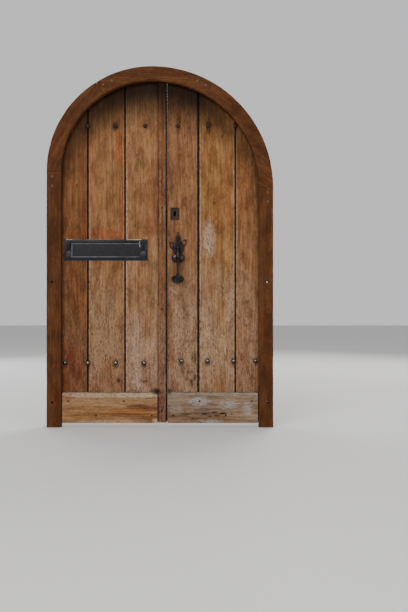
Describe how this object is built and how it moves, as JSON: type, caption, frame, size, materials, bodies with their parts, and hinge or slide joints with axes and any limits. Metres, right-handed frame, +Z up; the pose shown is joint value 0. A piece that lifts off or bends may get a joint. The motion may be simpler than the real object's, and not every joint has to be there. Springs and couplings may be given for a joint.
{
  "type": "arched wooden door",
  "caption": "Arched boarded door leaves in a rebated timber frame, with strap hinges, kick rails, letter plate, iron knocker, rim lock and slide bolts.",
  "frame": {"origin": "middle of the doorway at the feet of the jambs, in the plane of the frame's inner face", "axes": "+X to the right seen from outside, +Y into the house, +Z up"},
  "size_m": [1.09, 0.138, 1.737],
  "materials": {
    "frame_wood": "oiled oak, less weathered than the boards",
    "peg_wood": "end grain pegs",
    "board_wood": "weathered varnished boards, orange brown",
    "strip_wood": "weathered strip, purple brown",
    "rail_wood": "worn rail with a pale weathered top edge",
    "ledge_wood": "varnished inside",
    "strap_iron": "black wrought iron",
    "bolt_steel": "dull domed heads",
    "small_steel": "plain screws and nuts",
    "nail_iron": "dark nails",
    "letter_paint": "anthracite, satin",
    "key_iron": "brown black",
    "knocker_iron": "dark cast iron with a little rust",
    "lock_paint": "black enamel",
    "slide_steel": "sliding bars"
  },
  "bodies": {
    "frame": {"jamb_left": "frame_wood", "jamb_right": "frame_wood", "head_left": "frame_wood", "head_crown": "frame_wood", "head_right": "frame_wood", "frame_pegs": "peg_wood", "pintle_left_low": "strap_iron", "pintle_left_mid": "strap_iron", "pintle_right_low": "strap_iron", "pintle_right_mid": "strap_iron", "top_bolt_keeper": "lock_paint", "frame_screws": "small_steel"},
    "left_leaf": {"left_board_1": "board_wood", "left_board_2_low": "board_wood", "left_board_2_high": "board_wood", "left_board_3": "board_wood", "cover_strip": "strip_wood", "left_kick_rail": "rail_wood", "left_ledge_low": "ledge_wood", "left_ledge_mid": "ledge_wood", "left_ledge_top": "ledge_wood", "left_strap_low": "strap_iron", "left_strap_mid": "strap_iron", "left_bolts": "bolt_steel", "left_nuts": "small_steel", "left_screws": "small_steel", "left_nails": "nail_iron", "letter_plate": "letter_paint", "letter_flap_pin": "small_steel", "letter_inner_plate": "letter_paint", "letter_screws": "small_steel", "lock_keeper": "lock_paint", "top_bolt_guide": "lock_paint", "foot_bolt_guide": "lock_paint"},
    "letter_flap": {"letter_flap": "letter_paint"},
    "top_bolt": {"top_bolt": "slide_steel"},
    "foot_bolt": {"foot_bolt": "slide_steel"},
    "right_leaf": {"right_board_1": "board_wood", "right_board_2": "board_wood", "right_board_3": "board_wood", "right_kick_rail": "rail_wood", "right_ledge_low": "ledge_wood", "right_ledge_mid": "ledge_wood", "right_ledge_top": "ledge_wood", "right_strap_low": "strap_iron", "right_strap_mid": "strap_iron", "right_bolts": "bolt_steel", "right_nuts": "small_steel", "right_screws": "small_steel", "right_nails": "nail_iron", "escutcheon": "key_iron", "escutcheon_pins": "nail_iron", "knocker_plate": "knocker_iron", "knocker_pin": "small_steel", "knocker_stud": "knocker_iron", "lock_case": "lock_paint"},
    "knocker": {"knocker_hammer": "knocker_iron"},
    "deadbolt": {"deadbolt": "slide_steel", "deadbolt_knob": "slide_steel"}
  },
  "joints": [
    {"name": "left_swing", "type": "hinge", "parent": "frame", "child": "left_leaf", "pos_m": [-0.49, 0.0209, 0.308], "axis": [0, 0, 1], "range_deg": [0, 95]},
    {"name": "right_swing", "type": "hinge", "parent": "frame", "child": "right_leaf", "pos_m": [0.49, 0.0209, 0.318], "axis": [0, 0, -1], "range_deg": [0, 95]},
    {"name": "flap_lift", "type": "hinge", "parent": "left_leaf", "child": "letter_flap", "pos_m": [-0.263, -0.0349, 0.8925], "axis": [-1, 0, 0], "range_deg": [0, 80], "stiffness_Nm_per_rad": 0.06, "springref_deg": -34.38},
    {"name": "knocker_lift", "type": "hinge", "parent": "right_leaf", "child": "knocker", "pos_m": [0.086, -0.044, 0.868], "axis": [-1, 0, 0], "range_deg": [0, 60]},
    {"name": "deadbolt_shoot", "type": "slide", "parent": "right_leaf", "child": "deadbolt", "axis": [-1, 0, 0], "range_m": [0, 0.022]},
    {"name": "top_bolt_shoot", "type": "slide", "parent": "left_leaf", "child": "top_bolt", "axis": [0, 0, 1], "range_m": [0, 0.03]},
    {"name": "foot_bolt_shoot", "type": "slide", "parent": "left_leaf", "child": "foot_bolt", "axis": [0, 0, -1], "range_m": [0, 0.035]}
  ]
}
